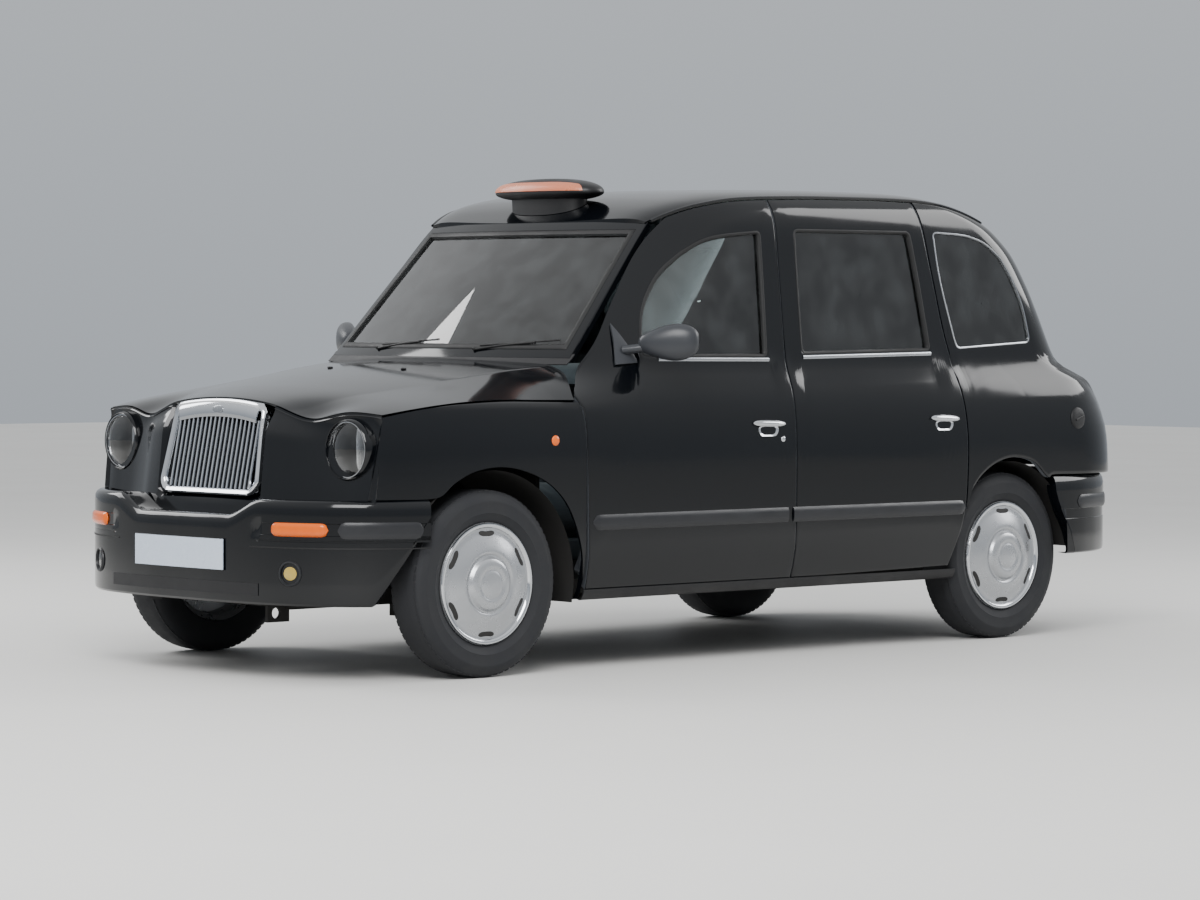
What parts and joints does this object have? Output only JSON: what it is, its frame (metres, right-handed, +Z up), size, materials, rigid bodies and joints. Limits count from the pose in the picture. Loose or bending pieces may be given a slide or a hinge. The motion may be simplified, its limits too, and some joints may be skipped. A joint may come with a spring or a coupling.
{
  "type": "city taxi cab",
  "caption": "Four-door city taxi cab with a tall rounded cabin, upright grille, roof sign, steered front wheels, hinged doors, bonnet and boot lid.",
  "frame": {"origin": "middle of the cab on the ground, at the bottom centre of its bounding box", "axes": "+X to the cab's left side, -Y to its front, +Z up"},
  "size_m": [2.0216, 4.5916, 1.862],
  "materials": {
    "body_paint": "gloss",
    "chrome": "polished",
    "clear_lens": "clear",
    "amber_lens": "translucent",
    "glazing": "clear",
    "plate": "gloss",
    "trim": "satin",
    "underbody": "matt",
    "cast": "matt",
    "seat_cloth": "woven",
    "wheel_silver": "satin",
    "tyre": "matt",
    "exhaust_steel": "dull"
  },
  "bodies": {
    "body": {"roof_panel": "body_paint", "body_frame": "body_paint", "rear_body": "body_paint", "front_wings": "body_paint", "front_panel": "body_paint", "floor_pan": "underbody", "partition": "trim", "front_bumper": "body_paint", "rear_bumper": "body_paint", "grille": "chrome", "front_lamps": "clear_lens", "signal_lamps": "amber_lens", "number_plates": "plate", "roof_sign": "body_paint", "fixed_windows": "glazing", "wipers": "trim", "exhaust": "exhaust_steel", "chassis_frame": "underbody", "engine": "cast", "rear_axle": "cast", "seats": "seat_cloth", "dashboard": "trim"},
    "door_front_left_body": {"door_front_left": "body_paint", "window_front_left": "glazing", "mirror_left": "trim"},
    "door_front_right_body": {"door_front_right": "body_paint", "window_front_right": "glazing", "mirror_right": "trim"},
    "door_rear_left_body": {"door_rear_left": "body_paint", "window_rear_left": "glazing"},
    "door_rear_right_body": {"door_rear_right": "body_paint", "window_rear_right": "glazing"},
    "bonnet_body": {"bonnet": "body_paint"},
    "boot_lid_body": {"boot_lid": "body_paint"},
    "steering_wheel_body": {"steering_wheel": "trim"},
    "knuckle_left_body": {"knuckle_left": "cast"},
    "knuckle_right_body": {"knuckle_right": "cast"},
    "wheel_front_left_body": {"wheel_front_left": "wheel_silver", "tyre_front_left": "tyre"},
    "wheel_front_right_body": {"wheel_front_right": "wheel_silver", "tyre_front_right": "tyre"},
    "wheel_rear_left_body": {"wheel_rear_left": "wheel_silver", "tyre_rear_left": "tyre"},
    "wheel_rear_right_body": {"wheel_rear_right": "wheel_silver", "tyre_rear_right": "tyre"}
  },
  "joints": [
    {"name": "steer_left", "type": "hinge", "parent": "body", "child": "knuckle_left_body", "pos_m": [0.69, -1.5425, 0.343], "axis": [0, 0, 1], "range_deg": [-42, 42]},
    {"name": "steer_right", "type": "hinge", "parent": "body", "child": "knuckle_right_body", "pos_m": [-0.69, -1.5425, 0.343], "axis": [0, 0, 1], "range_deg": [-42, 42]},
    {"name": "steering_wheel_turn", "type": "hinge", "parent": "body", "child": "steering_wheel_body", "pos_m": [-0.33, -0.6925, 0.96], "axis": [0, 0.8829, 0.4695], "range_deg": [-546, 546]},
    {"name": "wheel_front_left_spin", "type": "hinge", "parent": "knuckle_left_body", "child": "wheel_front_left_body", "pos_m": [0.782, -1.5425, 0.343], "axis": [1, 0, 0], "continuous": true},
    {"name": "wheel_front_right_spin", "type": "hinge", "parent": "knuckle_right_body", "child": "wheel_front_right_body", "pos_m": [-0.782, -1.5425, 0.343], "axis": [1, 0, 0], "continuous": true},
    {"name": "wheel_rear_left_spin", "type": "hinge", "parent": "body", "child": "wheel_rear_left_body", "pos_m": [0.762, 1.3435, 0.343], "axis": [1, 0, 0], "continuous": true},
    {"name": "wheel_rear_right_spin", "type": "hinge", "parent": "body", "child": "wheel_rear_right_body", "pos_m": [-0.762, 1.3435, 0.343], "axis": [1, 0, 0], "continuous": true},
    {"name": "door_front_left_hinge", "type": "hinge", "parent": "body", "child": "door_front_left_body", "pos_m": [0.88, -1.0975, 0.7], "axis": [0, 0, -1], "range_deg": [0, 65]},
    {"name": "door_front_right_hinge", "type": "hinge", "parent": "body", "child": "door_front_right_body", "pos_m": [-0.88, -1.0975, 0.7], "axis": [0, 0, 1], "range_deg": [0, 65]},
    {"name": "door_rear_left_hinge", "type": "hinge", "parent": "body", "child": "door_rear_left_body", "pos_m": [0.88, 0.0225, 0.7], "axis": [0, 0, -1], "range_deg": [0, 70]},
    {"name": "door_rear_right_hinge", "type": "hinge", "parent": "body", "child": "door_rear_right_body", "pos_m": [-0.88, 0.0225, 0.7], "axis": [0, 0, 1], "range_deg": [0, 70]},
    {"name": "bonnet_hinge", "type": "hinge", "parent": "body", "child": "bonnet_body", "pos_m": [0, -1.0225, 1.15], "axis": [-1, 0, 0], "range_deg": [0, 45]},
    {"name": "boot_lid_hinge", "type": "hinge", "parent": "body", "child": "boot_lid_body", "pos_m": [0, 1.9575, 1.108], "axis": [1, 0, 0], "range_deg": [0, 75]}
  ],
  "couplings": [
    {"joint": "steer_right", "follows": "steer_left", "ratio": 1},
    {"joint": "steering_wheel_turn", "follows": "steer_left", "ratio": 13}
  ]
}
